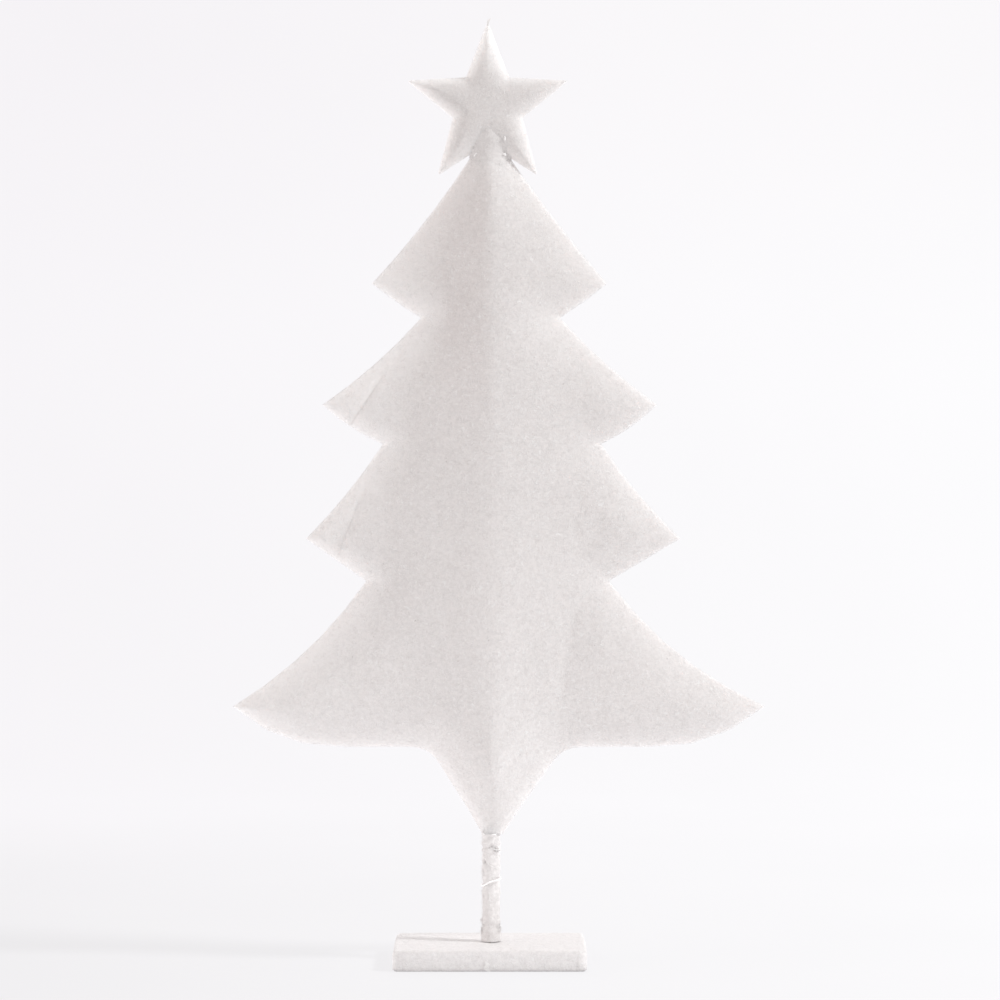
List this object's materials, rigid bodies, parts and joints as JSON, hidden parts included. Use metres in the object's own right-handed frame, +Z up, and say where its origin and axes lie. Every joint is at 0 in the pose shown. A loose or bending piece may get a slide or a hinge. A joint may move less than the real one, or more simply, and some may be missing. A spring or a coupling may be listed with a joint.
{
  "type": "padded fabric christmas tree",
  "caption": "Standing padded fleece tree with notched tiers of branches and a padded star, on a wrapped stem in a fleece-covered block base.",
  "frame": {"origin": "middle of the base's underside, on the dowel's axis", "axes": "+Z up along the dowel, -Y towards the front panel, +X to the right seen from the front"},
  "size_m": [0.3395, 0.08, 0.6001],
  "materials": {
    "base_board_wood": "satin",
    "base_cover_fleece": "matte",
    "base_pad_felt": "matte",
    "dowel_wood": "satin",
    "stem_fleece": "matte",
    "tree_front_cover_fleece": "matte",
    "tree_back_cover_fleece": "matte",
    "tree_wadding": "matte",
    "star_front_cover_fleece": "matte",
    "star_back_cover_fleece": "matte",
    "star_wadding": "matte"
  },
  "bodies": {
    "root": {"base_board": "base_board_wood", "base_cover": "base_cover_fleece", "base_pad": "base_pad_felt", "dowel": "dowel_wood", "stem_sleeve": "stem_fleece", "tree_front_cover": "tree_front_cover_fleece", "tree_back_cover": "tree_back_cover_fleece", "tree_filling": "tree_wadding", "star_front_cover": "star_front_cover_fleece", "star_back_cover": "star_back_cover_fleece", "star_filling": "star_wadding"}
  },
  "joints": []
}
